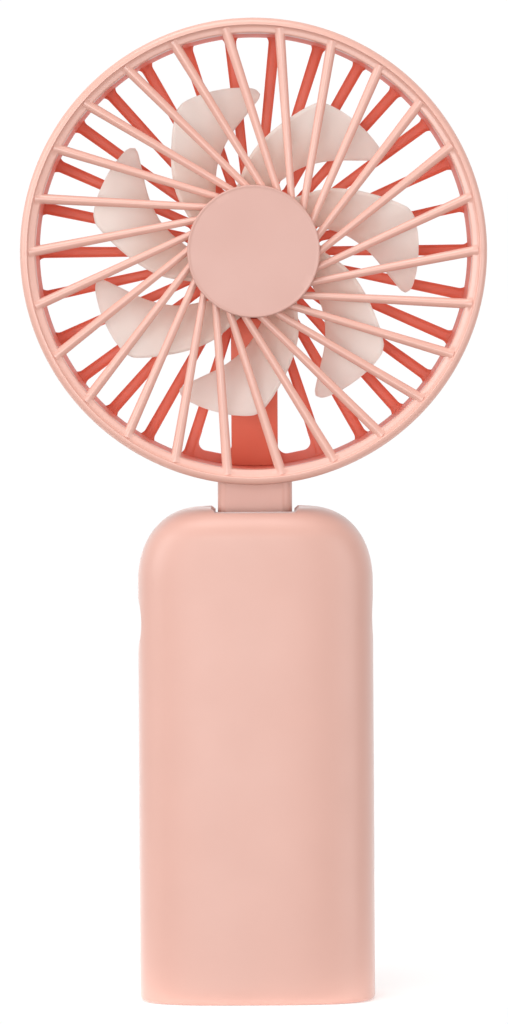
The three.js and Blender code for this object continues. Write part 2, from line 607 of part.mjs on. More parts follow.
// ---------------------------------------------------------------- inside the handle
function battery() {
  const placing = { axis: "z", centre: [BATTERY_X, 0, BATTERY_BASE], segments: 24 };
  const cell = [
    [0, 0], [BATTERY_R - 0.4, 0], [BATTERY_R, 0.4], [BATTERY_R, 63.6], [BATTERY_R - 0.6, 64],
    [2.8, 64], [2.8, BATTERY_LENGTH], [0, BATTERY_LENGTH],
  ];
  add("battery_cell", turned(cell, placing), CELL_WRAP);

  const inner = BATTERY_R + 0.2;
  const outer = inner + 1.2;
  const ends = [[-2.2, -0.6], [BATTERY_LENGTH + 0.6, BATTERY_LENGTH + 2.2]];
  const trough = tube(outer, inner, [ends[0][0], ends[1][1]], placing);
  const walls = ends.map((span) => rod(inner + 0.5, span, placing));
  const rearHalf = box([-40, 40], [0.8, 30], [0, 100]);
  const endWalls = ends.map(([from, to]) =>
    box([-40, 40], [-6, 30], [BATTERY_BASE + from, BATTERY_BASE + to]));
  const keep = join(rearHalf, ...endWalls);
  const tabHeights = [BATTERY_BASE - 0.45, BATTERY_BASE + BATTERY_LENGTH + 0.15];
  const tabWays = tabHeights.map((z) => box([2, 8], [-2.3, 2.3], [z - 0.1, z + 0.4]));
  add("battery_cradle", cut(join(trough, ...walls).intersect(keep), ...tabWays), BLACK);

  // Each tab is a nickel strip from the cell's end, bent towards the middle at the board.
  ["battery_tab_negative", "battery_tab_positive"].forEach((name, i) => {
    const z = tabHeights[i];
    const strip = box([BATTERY_X - 3, 11.4], [-2, 2], [z, z + 0.3]);
    const leg = box([11.1, 11.4], [-2, 2], i ? [z - 4, z + 0.3] : [z, z + 4]);
    add(name, join(strip, leg), STEEL);
  });
}

function electronics() {
  const boardBack = BOARD_X + 1.2;
  const board = box([BOARD_X, boardBack], [-9, 9], [10, 80]);
  const coil = box([BOARD_X - 2, BOARD_X + 0.1], [3, 7.5], [70, 75]);
  const chips = [[30, 34], [40, 45]].map((span) =>
    box([boardBack - 0.1, boardBack + 1], [-2.5, 2.5], span));
  add("main_board", join(board, coil, ...chips), BOARD_GREEN);

  const body = box([boardBack + GAP, 18.3], [-3, 3], [BUTTON_Z - 3, BUTTON_Z + 3]);
  const plunger = rod(1.7, [18.2, 19.1], { axis: "x", centre: [0, 0, BUTTON_Z], segments: 12 });
  add("tact_switch", join(body, plunger), BLACK);

  add("charge_board", box([-9, 9], [-3, 11], [4.4, 5.6]), BOARD_GREEN);
  const shell = prism(roundedRect(8.94, 3.2, 1.4, [0, SOCKET_Z]), "xz", [6.6, 13.9]);
  const feet = box([-3.6, 3.6], [7, 12], [5.7, 6.6]);
  const mouth = prism(roundedRect(8.3, 2.5, 1.1, [0, SOCKET_Z]), "xz", [8.4, 15]);
  const tongue = box([-3.3, 3.3], [8, 13.2], [SOCKET_Z - 0.35, SOCKET_Z + 0.35]);
  add("usb_c_socket", join(cut(join(shell, feet), mouth), tongue), STEEL);
}

// The side key: it stands in the shell's slot, is held by its flange and presses the switch.
function powerButton() {
  const face = HANDLE_WIDTH / 2 - 0.3;
  const key = prism(roundedRect(BUTTON_WIDTH, BUTTON_HEIGHT, 2.3, [0, BUTTON_Z]), "yz", [21.4, face]);
  const flange = prism(roundedRect(7.2, 15.4, 2.6, [0, BUTTON_Z]), "yz", [21.2, 22.4]);
  const stub = rod(2, [20.1, 21.5], { axis: "x", centre: [0, 0, BUTTON_Z], segments: 12 });
  add("power_button", join(key, flange, stub), PINK);
}

frontGrille();
grilleCap();
ductShell();
rearGrille();
leadCovers();
motorStator();
motorLead();
impeller();
handleShells();
hinge();
battery();
electronics();
powerButton();

export default group;
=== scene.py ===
"""The looks of a handheld electric fan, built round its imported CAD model. Lengths in the mesh code
are millimetres in the part's frame (+Z up, the air leaves towards -Y); objects are made in metres."""

import json
import math

import bmesh
import bpy
from mathutils import Matrix, Vector


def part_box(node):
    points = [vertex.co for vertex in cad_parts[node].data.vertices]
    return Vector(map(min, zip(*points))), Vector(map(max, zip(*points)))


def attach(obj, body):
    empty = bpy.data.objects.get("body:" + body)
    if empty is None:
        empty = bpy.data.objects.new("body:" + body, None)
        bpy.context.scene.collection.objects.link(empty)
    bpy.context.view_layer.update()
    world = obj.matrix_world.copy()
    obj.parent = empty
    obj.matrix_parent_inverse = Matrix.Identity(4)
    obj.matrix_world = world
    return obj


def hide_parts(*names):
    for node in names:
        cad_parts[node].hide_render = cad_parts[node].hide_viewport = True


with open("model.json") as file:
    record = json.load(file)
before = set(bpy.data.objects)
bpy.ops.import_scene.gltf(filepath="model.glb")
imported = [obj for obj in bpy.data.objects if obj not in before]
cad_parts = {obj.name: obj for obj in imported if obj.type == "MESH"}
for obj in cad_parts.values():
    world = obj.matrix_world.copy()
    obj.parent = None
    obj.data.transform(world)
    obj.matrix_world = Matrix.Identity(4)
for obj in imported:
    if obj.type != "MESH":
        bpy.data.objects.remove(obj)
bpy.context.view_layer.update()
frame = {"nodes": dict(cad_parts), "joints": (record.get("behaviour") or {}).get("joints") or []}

MM = 0.001


def cad_box(node):
    """The lowest and highest corners of a CAD node, in millimetres."""
    low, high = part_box(node)
    return low / MM, high / MM


# ---------------------------------------------------------------- sizes
RING_LOW, RING_HIGH = cad_box("front_grille")
HEAD_R = (RING_HIGH.x - RING_LOW.x) / 2
HEAD_Z = (RING_HIGH.z + RING_LOW.z) / 2
HEAD_AXIS = (0, HEAD_Z)
FINE = 240  # steps round the largest circles
FACE_Y = RING_LOW.y
BORE_R = 46.3
SPIGOT_R, SPIGOT_Y = 47.65, -6.5  # the ring's collar, which slips into the duct
RECESS_R, RECESS_Y = 47.75, -12.2  # the band inside the ring's nose, which carries the spokes
NOSE_R = 48.0
SEAM_Y = -9.0

SPOKES = 26
SPOKE_OFFSET = 8.8
SPOKE_WIDTHS = (1.5, 2.15)  # at the boss and at the ring
SPOKE_DEPTH = 1.8
SPOKE_Y = -11.6
SPOKE_POWER = 1.6  # of the section, which gives the spokes a soft ridge
SPOKE_START = -3.7  # degrees, of the first spoke
BOSS_R, BOSS_FRONT, BOSS_BACK = 13.2, -12.4, -10.6
BOSS_BORE_R = 3.2

CAP_LOW, CAP_HIGH = cad_box("grille_cap")
CAP_R = (CAP_HIGH.x - CAP_LOW.x) / 2
CAP_SEAT, CAP_BACK = -12.6, -10.2
CAP_PEG_R = 3.0

DUCT_R, DUCT_Y = 49.3, -8.85
MOUTH_R = 47.8  # the front end of the duct, which takes the ring's collar
# where the painted-shade lining starts, behind the ring's collar
SHADE_LINING_Y = -6.3

RIBS = 30
RIB_WIDTHS = (1.9, 2.5)  # at the core and at the rim
RIB_DEPTH = 2.2
CORE_R, CORE_Y = 14.2, 12.5
CUP_BORE_R, CUP_Y = 12.8, 4
GROOVE = (9.0, 10.2, 0.3)  # inner and outer radius and depth of the groove in the middle's back
FOOT_R, FOOT_REACH, FOOT_SPREAD = 44.5, 40.5, 18
WINDOW_R = 34.0
REBATE_R = 47.5
INSERT_Y = 12.3
BACK_Y = cad_box("duct_shell")[1].y
CHANNEL_HALF, CHANNEL_WALL, CHANNEL_FRONT = 5.0, 1.0, 9.45
LEAD_HALF, LEAD_FOOT = 2.6, 102.0
LEAD_SPAN, LEAD_MOUTH = (8.4, 11.9), (7.4, 12.4)  # along Y, under the duct and into the motor's cup
NECK_SCREW = (0, 99.9)
COVER_SEAT, COVER_FLOOR = (-5.3, 5.3, 98, 108.9), 10.6

BLADES = 7
HUB_R = 14.0
HUB_BORE_R, HUB_WALL_Y = 12.95, -7.0
SHAFT_BORE_R = 1.05
BLADE_ROOT_R = 13.4
BLADE_FRONT_Y, BLADE_PITCH_Y, BLADE_CAMBER = -7.6, 8.9, 1.4
BLADE_EDGE, BLADE_BODY = 0.1, 0.48  # half of the thickness at the edge, and what is added inside
BLADE_SOFT = 0.06  # the share of the blade over which its edge thins
BLADE_GRID = (36, 26)  # cells across and outwards
# A blade's outline in the front view, as (radius, degrees clockwise) along its sides.
BLADE_FRONT_SIDE = (
    (BLADE_ROOT_R, -16.3), (20, -2.4), (25, 7.5), (30, 16.5), (33.2, 21.6), (34.3, 23.8),
)
BLADE_REAR_SIDE = (
    (BLADE_ROOT_R, 12.4), (20, 28.3), (25, 39.7), (29.8, 49.6), (31.5, 52.2), (32.7, 53.7), (33.7, 54.1),
)
BLADE_TIP = ((34.3, 23.8), (35, 27), (35.2, 34), (35.15, 42), (35, 48), (34.7, 52.2), (33.7, 54.1))
HUB_FRONT, HUB_BACK = cad_box("impeller")[0].y, cad_box("impeller")[1].y

HINGE_Y, HINGE_Z = (c / MM for c in frame["joints"][0]["pos_m"][1:])
NECK_HALF = 7.95
NECK_R = 7.0
PIN_R = 1.6

SHELL_LOW, SHELL_HIGH = cad_box("handle_front_shell")
HANDLE_A = SHELL_HIGH.x
HANDLE_B = -SHELL_LOW.y
HANDLE_TOP = SHELL_HIGH.z
SECTION_POWER = 3.4
SHOULDER = (14.0, 16.0, 2.2)  # reach along X, reach along Z, power of the corner's curve
SOFT_EDGE = 6.4
BASE_EDGE = 1.0
PARTING_Y = 4.0
PARTING_GAP = 0.07
ROW = 3.0  # between the rows of the handle's straight sides
WALL, ROOF = 2.0, 3.0
SLOT_HALF, SLOT_FRONT, SLOT_FLOOR = 8.5, -4.6, 87.4
NOTCH_Z = 103.95
# The shallow scoops in the sides, left and right, as (x, z, radius) of the cutting cylinders.
SCOOPS = ((-HANDLE_A - 18.25, 80.5, 19.0), (HANDLE_A + 39.75, 81.5, 40.0))
BUTTON_Z = 60.1
KEY_HALF, KEY_SLOT_HALF = (2.85, 6.25), (3.25, 6.9)  # along Y and Z
KEY_BACK, FLANGE_SPAN = 21.4, (21.2, 22.3)
SHELL_SCREWS = [(x, z) for x in (-19.0, 19.0) for z in (12.0, 72.0)]
WELL_R = 2.1
SOCKET_Z, SOCKET_DEPTH = 7.9, 8.4  # the height of its middle, and how far forward its mouth reaches


# ---------------------------------------------------------------- mesh helpers
def mesh_object(name, points, faces):
    """An object from points in millimetres, with its faces turned outwards."""
    mesh = bpy.data.meshes.new(name)
    mesh.from_pydata([tuple(c * MM for c in p) for p in points], [], faces)
    bm = bmesh.new()
    bm.from_mesh(mesh)
    bmesh.ops.remove_doubles(bm, verts=bm.verts, dist=1e-7)
    bmesh.ops.recalc_face_normals(bm, faces=bm.faces)
    bm.to_mesh(mesh)
    bm.free()
    ob = bpy.data.objects.new(name, mesh)
    bpy.context.scene.collection.objects.link(ob)
    return ob


def loft(name, rings, closed=False):
    """A skin over rings of equal length. Open lofts get a flat face at each end."""
    count = len(rings[0])
    points = [p for ring in rings for p in ring]
    spans = len(rings) if closed else len(rings) - 1
    faces = []
    for i in range(spans):
        a, b = i * count, (i + 1) % len(rings) * count
        faces += [(a + j, a + (j + 1) % count, b + (j + 1) % count, b + j) for j in range(count)]
    if not closed:
        faces += [tuple(range(count)), tuple(range((len(rings) - 1) * count, len(rings) * count))]
    return mesh_object(name, points, faces)


def lathe(name, profile, centre=(0.0, 0.0), segments=144, closed=True, axis="y"):
    """A profile of (radius, along) pairs turned about an axis through centre, which is (x, z)
    for axis y and (y, z) for axis x."""
    rings = []
    for radius, along in profile:
        turns = [2 * math.pi * k / segments for k in range(segments)]
        pairs = [(centre[0] + radius * math.sin(t), centre[1] + radius * math.cos(t)) for t in turns]
        if axis == "y":
            rings.append([(u, along, v) for u, v in pairs])
        else:
            rings.append([(along, u, v) for u, v in pairs])
    return loft(name, rings, closed)


def cylinder(name, radius, span, centre, segments, axis="y"):
    low, high = span
    profile = [(0, low), (radius, low), (radius, high), (0, high)]
    return lathe(name, profile, centre, segments, closed=False, axis=axis)


def rounded(corners, steps=5):
    """A closed outline from (u, v, radius) corners, with an arc at each corner."""
    outline = []
    for i, (u, v, radius) in enumerate(corners):
        here = Vector((u, v))
        back = (Vector(corners[i - 1][:2]) - here).normalized()
        ahead = (Vector(corners[(i + 1) % len(corners)][:2]) - here).normalized()
        half = back.angle(ahead) / 2
        if radius <= 0 or half > 1.55:
            outline.append((u, v))
            continue
        centre = here + (back + ahead).normalized() * (radius / math.sin(half))
        start = here + back * (radius / math.tan(half)) - centre
        end = here + ahead * (radius / math.tan(half)) - centre
        for k in range(steps + 1):
            arm = start.lerp(end, k / steps).normalized() * radius
            outline.append(tuple(centre + arm))
    return outline


def prism(name, outline, span, plane="xz", edge=0.0, steps=3):
    """An outline pushed along the axis across its plane, with edges rounded by edge."""
    low, high = span
    centre = Vector((sum(u for u, _ in outline), sum(v for _, v in outline))) / len(outline)
    levels = [(low, 0.0), (high, 0.0)]
    if edge:
        arc = [math.pi / 2 * k / steps for k in range(steps + 1)]
        near = [(low + edge * (1 - math.sin(t)), edge * (1 - math.cos(t))) for t in reversed(arc)]
        levels = near + [(high - (along - low), inset) for along, inset in reversed(near)]
    size = max((Vector(p) - centre).length for p in outline)
    rings = []
    for along, inset in levels:
        share = 1 - inset / size
        flat = [centre + (Vector(p) - centre) * share for p in outline]
        if plane == "xz":
            rings.append([(p.x, along, p.y) for p in flat])
        elif plane == "xy":
            rings.append([(p.x, p.y, along) for p in flat])
        else:
            rings.append([(along, p.x, p.y) for p in flat])
    return loft(name, rings)


def rect(u0, u1, v0, v1, radius=0.0):
    return rounded([(u0, v0, radius), (u1, v0, radius), (u1, v1, radius), (u0, v1, radius)])


def superellipse(a, b, power, count):
    """Points of |x/a|^power + |y/b|^power = 1, anticlockwise from +x."""
    points = []
    for k in range(count):
        t = 2 * math.pi * k / count
        c, s = math.cos(t), math.sin(t)
        reach = (abs(c) ** power + abs(s) ** power) ** (-1 / power)
        points.append((a * c * reach, b * s * reach))
    return points


def about_axis(ob, degrees):
    """ob turned clockwise, as seen from the front, about the head's axis, and raised to it."""
    turn = Matrix.Rotation(math.radians(degrees), 4, "Y")
    ob.data.transform(Matrix.Translation((0, 0, HEAD_Z * MM)) @ turn)
    ob.data.update()
    return ob


def combine(base, tools, operation):
    """Joins tools to base, or cuts them from it, and removes them."""
    group = bpy.data.collections.new(base.name + "_tools")
    for tool in tools:
        group.objects.link(tool)
    modifier = base.modifiers.new("boolean", "BOOLEAN")
    modifier.operation = operation
    modifier.operand_type = "COLLECTION"
    modifier.collection = group
    modifier.solver = "EXACT"
    modifier.use_self = operation == "UNION"
    apply_modifiers(base)
    for tool in tools:
        bpy.data.objects.remove(tool)
    bpy.data.collections.remove(group)
    return base


def apply_modifiers(ob):
    graph = bpy.context.evaluated_depsgraph_get()
    mesh = bpy.data.meshes.new_from_object(ob.evaluated_get(graph))
    ob.modifiers.clear()
    ob.data = mesh


def soften(ob, width, angle):
    """Rounds the edges that turn by more than angle degrees, by width millimetres."""
    bevel = ob.modifiers.new("bevel", "BEVEL")
    bevel.width = width * MM
    bevel.segments = 2
    bevel.limit_method = "ANGLE"
    bevel.angle_limit = math.radians(angle)
    bevel.use_clamp_overlap = True
    apply_modifiers(ob)


def finish_piece(ob, body, material, nodes, smooth=38.0):
    """Smooth shading up to an angle, the material, and the piece's place in the frame."""
    ob.data.materials.clear()
    ob.data.materials.append(material)
    for polygon in ob.data.polygons:
        polygon.use_smooth = True
    ob.data.set_sharp_from_angle(angle=math.radians(smooth))
    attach(ob, body)
    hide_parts(*nodes)


# ---------------------------------------------------------------- materials
GRAIN = 0.00001  # metres, the depth of the grain in moulded plastic


def node_material(name):
    material = bpy.data.materials.new(name)
    material.use_nodes = True
    tree = material.node_tree
    return material, tree, tree.nodes["Principled BSDF"]


def noise_node(tree, scale, detail):
    position = tree.nodes.new("ShaderNodeTexCoord")
    texture = tree.nodes.new("ShaderNodeTexNoise")
    texture.inputs["Scale"].default_value = scale
    texture.inputs["Detail"].default_value = detail
    texture.inputs["Roughness"].default_value = 0.55
    tree.links.new(position.outputs["Object"], texture.inputs["Vector"])
    return texture


def mapped(tree, source, low, high, from_low=0.3, from_high=0.7):
    """A value socket scaled from one range to another."""
    node = tree.nodes.new("ShaderNodeMapRange")
    node.inputs["From Min"].default_value = from_low
    node.inputs["From Max"].default_value = from_high
    node.inputs["To Min"].default_value = low
    node.inputs["To Max"].default_value = high
    tree.links.new(source, node.inputs["Value"])
    return node.outputs["Result"]


def colour_mix(tree, factor, a, b):
    """Two colours, or a colour socket and a colour, mixed by a factor socket."""
    node = tree.nodes.new("ShaderNodeMix")
    node.data_type = "RGBA"
    tree.links.new(factor, node.inputs["Factor"])
    for value, socket in ((a, node.inputs["A"]), (b, node.inputs["B"])):
        if isinstance(value, bpy.types.NodeSocket):
            tree.links.new(value, socket)
        else:
            socket.default_value = (*value, 1.0)
    return node.outputs["Result"]


def add_bump(tree, shader, height, distance):
    """Relief from a value socket; distance is its depth in metres."""
    bump = tree.nodes.new("ShaderNodeBump")
    bump.inputs["Distance"].default_value = distance
    bump.inputs["Strength"].default_value = 1.0
    tree.links.new(height, bump.inputs["Height"])
    tree.links.new(bump.outputs["Normal"], shader.inputs["Normal"])


def wear_and_painted_highlight_edges(tree, colour, worn_and_painted_highlight):
    """The colour, a little lighter along convex edges, partly as wear and partly as a painted highlight."""
    geometry = tree.nodes.new("ShaderNodeNewGeometry")
    edge = mapped(tree, geometry.outputs["Pointiness"], 0.0, 0.55, 0.53, 0.60)
    return colour_mix(tree, edge, colour, worn_and_painted_highlight)


def moulded(name, colour, rough, specular=0.5, through=0.0, sheen=0.0):
    """Moulded plastic: a fine spark-eroded grain, faint flow mottling, and convex edges a little lighter,
    partly from wear and partly as a painted highlight.
    """
    material, tree, shader = node_material(name)
    tint = 0.012
    mottle = noise_node(tree, 90.0, 4.0)
    darker = tuple(c * (1 - tint) for c in colour)
    lighter = tuple(min(1.0, c * (1 + tint)) for c in colour)
    base = colour_mix(tree, mapped(tree, mottle.outputs["Fac"], 0.0, 1.0), darker, lighter)
    # the lighter edge colour: part wear, part painted highlight along convex edges
    worn_and_painted_highlight = tuple(min(1.0, c * 1.06 + 0.02) for c in colour)
    tree.links.new(wear_and_painted_highlight_edges(tree, base, worn_and_painted_highlight), shader.inputs["Base Color"])
    smudge = noise_node(tree, 55.0, 5.0)
    tree.links.new(
        mapped(tree, smudge.outputs["Fac"], rough - 0.05, rough + 0.06), shader.inputs["Roughness"]
    )
    shader.inputs["Specular IOR Level"].default_value = specular
    shader.inputs["Sheen Weight"].default_value = sheen
    shader.inputs["Sheen Roughness"].default_value = 0.4
    fine = noise_node(tree, 5200.0, 2.0)
    add_bump(tree, shader, fine.outputs["Fac"], GRAIN)
    if through:
        let_through(tree, shader, base, through)
    return material


def let_through(tree, shader, colour, share):
    """Lets a share of the light through the piece, scattered."""
    through = tree.nodes.new("ShaderNodeBsdfTranslucent")
    tree.links.new(colour, through.inputs["Color"])
    blend = tree.nodes.new("ShaderNodeMixShader")
    blend.inputs["Fac"].default_value = share
    tree.links.new(shader.outputs["BSDF"], blend.inputs[1])
    tree.links.new(through.outputs["BSDF"], blend.inputs[2])
    tree.links.new(blend.outputs["Shader"], tree.nodes["Material Output"].inputs["Surface"])


def frosted(name, colour, near_hub_painted_bounce):
    """Frosted translucent plastic, warmer towards the hub with painted bounce light from the pink and coral
    parts round it.
    """
    material, tree, shader = node_material(name)
    position = tree.nodes.new("ShaderNodeTexCoord")
    split = tree.nodes.new("ShaderNodeSeparateXYZ")
    tree.links.new(position.outputs["Object"], split.inputs["Vector"])
    flat = tree.nodes.new("ShaderNodeCombineXYZ")
    lowered = tree.nodes.new("ShaderNodeMath")
    lowered.operation = "SUBTRACT"
    lowered.inputs[1].default_value = HEAD_Z * MM
    tree.links.new(split.outputs["Z"], lowered.inputs[0])
    tree.links.new(split.outputs["X"], flat.inputs["X"])
    tree.links.new(lowered.outputs["Value"], flat.inputs["Z"])
    length = tree.nodes.new("ShaderNodeVectorMath")
    length.operation = "LENGTH"
    tree.links.new(flat.outputs["Vector"], length.inputs[0])
    # painted bounce light: the warm colour at the hub fades out by 30 mm from the axis
    painted_bounce_fade = mapped(tree, length.outputs["Value"], 0.0, 1.0, HUB_R * MM, 30 * MM)
    base = colour_mix(tree, painted_bounce_fade, near_hub_painted_bounce, colour)
    cloud = noise_node(tree, 160.0, 4.0)
    pale = tuple(min(1.0, c * 1.05) for c in colour)
    tinted = colour_mix(tree, mapped(tree, cloud.outputs["Fac"], 0.0, 0.35), base, pale)
    tree.links.new(tinted, shader.inputs["Base Color"])
    tree.links.new(mapped(tree, cloud.outputs["Fac"], 0.38, 0.5), shader.inputs["Roughness"])
    fine = noise_node(tree, 4200.0, 2.0)
    add_bump(tree, shader, fine.outputs["Fac"], GRAIN)
    shader.inputs["Alpha"].default_value = 0.8
    let_through(tree, shader, tinted, 0.35)
    return material


def plated(name, colour, rough):
    """Plated steel with fine drawn scratches."""
    material, tree, shader = node_material(name)
    shader.inputs["Metallic"].default_value = 1.0
    scratches = noise_node(tree, 900.0, 4.0)
    dull = tuple(c * 0.86 for c in colour)
    base = colour_mix(tree, mapped(tree, scratches.outputs["Fac"], 0.0, 1.0), dull, colour)
    tree.links.new(base, shader.inputs["Base Color"])
    tree.links.new(
        mapped(tree, scratches.outputs["Fac"], rough - 0.07, rough + 0.08), shader.inputs["Roughness"]
    )
    add_bump(tree, shader, scratches.outputs["Fac"], 0.000008)
    return material


def wound_copper(name):
    """Enamelled wire in fine turns."""
    material, tree, shader = node_material(name)
    shader.inputs["Metallic"].default_value = 1.0
    position = tree.nodes.new("ShaderNodeTexCoord")
    turns = tree.nodes.new("ShaderNodeTexWave")
    turns.wave_type = "RINGS"
    turns.rings_direction = "SPHERICAL"
    turns.inputs["Scale"].default_value = 800.0
    tree.links.new(position.outputs["Object"], turns.inputs["Vector"])
    base = colour_mix(tree, turns.outputs["Fac"], (0.25, 0.08, 0.03), (0.62, 0.26, 0.11))
    tree.links.new(base, shader.inputs["Base Color"])
    tree.links.new(mapped(tree, turns.outputs["Fac"], 0.3, 0.45, 0.0, 1.0), shader.inputs["Roughness"])
    add_bump(tree, shader, turns.outputs["Fac"], 0.00005)
    return material


def solder_mask(name):
    """A green circuit board with faint tracks under the mask."""
    material, tree, shader = node_material(name)
    position = tree.nodes.new("ShaderNodeTexCoord")
    cells = tree.nodes.new("ShaderNodeTexVoronoi")
    cells.distance = "CHEBYCHEV"
    cells.feature = "F1"
    cells.inputs["Scale"].default_value = 420.0
    tree.links.new(position.outputs["Object"], cells.inputs["Vector"])
    tracks = mapped(tree, cells.outputs["Distance"], 0.0, 1.0, 0.3, 0.4)
    base = colour_mix(tree, tracks, (0.03, 0.2, 0.09), (0.012, 0.1, 0.045))
    tree.links.new(base, shader.inputs["Base Color"])
    tree.links.new(mapped(tree, cells.outputs["Distance"], 0.24, 0.34, 0.0, 0.5), shader.inputs["Roughness"])
    add_bump(tree, shader, tracks, 0.00003)
    return material


# ---------------------------------------------------------------- the head's front
def ring_piece():
    """The grille's ring: a round nose, a band inside it for the spokes, and a collar behind."""
    profile = rounded([
        (BORE_R, SPIGOT_Y, 0.15), (BORE_R, RECESS_Y + 0.1, 0.4), (RECESS_R, RECESS_Y, 0.7),
        (NOSE_R, FACE_Y, 0.2), (HEAD_R, FACE_Y, 1.45), (HEAD_R, SEAM_Y, 0.18),
        (SPIGOT_R, SEAM_Y, 0.1), (SPIGOT_R, SPIGOT_Y, 0.15),
    ])
    return lathe("grille", profile, HEAD_AXIS, FINE)


def sweep_bar(name, stations, section):
    """A bar along Z from (z, x, y, width, depth) stations with a superellipse section."""
    outline = superellipse(0.5, 0.5, section, 20)
    rings = [[(x + u * w, y + v * d, z) for u, v in outline] for z, x, y, w, d in stations]
    return loft(name, rings)


def flared(start, end, flare, reach):
    """(along, added width) pairs of a bar with a fillet at both ends."""
    steps = 5
    pairs = [(start + reach * k / steps, flare * (1 - math.sin(math.pi / 2 * k / steps)))
             for k in range(steps)]
    tail = [(end - (along - start), wide) for along, wide in reversed(pairs)]
    return pairs + [(start + reach, 0.0), (end - reach, 0.0)] + tail


def spoke_piece(index):
    """A straight spoke beside the axis, from under the cap to the ring's collar."""
    start = math.sqrt((CAP_R - 2) ** 2 - SPOKE_OFFSET ** 2)
    end = math.sqrt(SPIGOT_R ** 2 - SPOKE_OFFSET ** 2)
    inner, outer = SPOKE_WIDTHS
    stations = []
    for along, wide in flared(start, end, 1.2, 1.6):
        width = inner + (outer - inner) * (along - start) / (end - start) + wide
        stations.append((along, SPOKE_OFFSET, SPOKE_Y, width, SPOKE_DEPTH))
    bar = sweep_bar("spoke", stations, SPOKE_POWER)
    return about_axis(bar, SPOKE_START + 360 / SPOKES * index)


def build_grille(material):
    ring = ring_piece()
    boss = lathe("boss", rounded([
        (BOSS_BORE_R, BOSS_FRONT, 0.1), (BOSS_R, BOSS_FRONT, 0.3), (BOSS_R, BOSS_BACK, 0.4),
        (BOSS_BORE_R, BOSS_BACK, 0.1),
    ]), HEAD_AXIS, 96)
    combine(ring, [boss] + [spoke_piece(i) for i in range(SPOKES)], "UNION")
    finish_piece(ring, "head", material, ["front_grille"])


def build_cap(material):
    """A disc with a fine lip round its face, and a peg behind it that sits in the boss."""
    face = CAP_LOW.y + 0.04
    lip = rounded([(CAP_R - 0.6, face, 0.08), (CAP_R - 0.35, CAP_LOW.y, 0.1), (CAP_R, CAP_LOW.y, 0.3),
                   (CAP_R, CAP_SEAT, 0.15), (CAP_PEG_R, CAP_SEAT, 0), (CAP_PEG_R, CAP_BACK, 0.2)], 6)
    profile = [((CAP_R - 0.8) * k / 7, face) for k in range(8)] + lip + [(0, CAP_BACK)]
    cap = lathe("cap", profile, HEAD_AXIS, 192, closed=False)
    finish_piece(cap, "head", material, ["grille_cap"], smooth=50)


# ---------------------------------------------------------------- the duct and its rear
def build_duct(material, shade_lining_material):
    """The duct's wall and, inside it, a lining in coral, which is painted shade on the duct's inner face."""
    wall = lathe("duct", rounded([
        (MOUTH_R, DUCT_Y, 0.15), (DUCT_R, DUCT_Y, 0.2), (DUCT_R, BACK_Y, 1.9), (REBATE_R, BACK_Y, 0.2),
        (REBATE_R, SHADE_LINING_Y, 0.1), (MOUTH_R, SHADE_LINING_Y, 0.1),
    ]), HEAD_AXIS, FINE)
    shade_lining_r, shade_lining_back = REBATE_R - 0.03, INSERT_Y - 0.1
    shade_lining = lathe("duct_painted_shade_lining", rounded([
        (BORE_R, SHADE_LINING_Y, 0.15), (shade_lining_r, SHADE_LINING_Y, 0.1), (shade_lining_r, shade_lining_back, 0.1),
        (BORE_R, shade_lining_back, 0.1),
    ]), HEAD_AXIS, FINE)
    # the lining takes the coral painted shade; the wall keeps the pink
    for shell, paint, slot in ((wall, material, "shell_pink"), (shade_lining, shade_lining_material, "grille_coral")):
        way = prism("way", rect(-LEAD_HALF, LEAD_HALF, LEAD_FOOT, HEAD_Z - BORE_R + 0.4), LEAD_SPAN)
        combine(shell, [way], "DIFFERENCE")
        finish_piece(shell, "head", paint, ["duct_shell"])


def build_neck(material):
    """The neck under the duct, with the barrel that turns on the hinge pin."""
    front, back = HINGE_Y - NECK_R, HINGE_Y + NECK_R
    outline = rounded([(-NECK_HALF, front, 2.4), (NECK_HALF, front, 2.4), (NECK_HALF, back, 1.6),
                       (-NECK_HALF, back, 1.6)], 8)
    neck = prism("neck", outline, (HINGE_Z, HEAD_Z - BORE_R - 1.2), "xy")
    hinge = (HINGE_Y, HINGE_Z)
    end = [(NECK_R - lost, NECK_HALF - inset)
           for lost, inset in ((1.2, 0), (0.55, 0.18), (0.18, 0.55), (0, 1.2))]
    profile = [(0, -NECK_HALF)] + [(r, -x) for r, x in end] + end[::-1] + [(0, NECK_HALF)]
    barrel = lathe("barrel", profile, hinge, 72, closed=False, axis="x")
    combine(neck, [barrel], "UNION")
    bore = cylinder("bore", PIN_R, (-12, 12), hinge, 32, "x")
    duct = cylinder("duct_room", DUCT_R + 0.02, (-20, 20), HEAD_AXIS, FINE)
    lead_way = prism("lead_way", rect(-LEAD_HALF, LEAD_HALF, LEAD_FOOT, 115), LEAD_SPAN)
    seat = prism("seat", rect(*COVER_SEAT, 0.5), (COVER_FLOOR, 13))
    hole = cylinder("hole", 0.9, (5.5, 13), NECK_SCREW, 24)
    combine(neck, [bore, duct, lead_way, seat, hole], "DIFFERENCE")
    finish_piece(neck, "head", material, ["duct_shell"])


def rib_piece(back, angle):
    """A rib of the rear grille, from its middle to its rim, with a fillet at both ends."""
    start, end = CORE_R - 0.8, BORE_R + 0.7
    inner, outer = RIB_WIDTHS
    stations = []
    for along, wide in flared(start, end, 2.2, 1.8):
        width = inner + (outer - inner) * (along - start) / (BORE_R - start) + wide
        stations.append((along, 0.0, back - RIB_DEPTH / 2, width, RIB_DEPTH))
    return about_axis(sweep_bar("rib", stations, 4.5), angle)


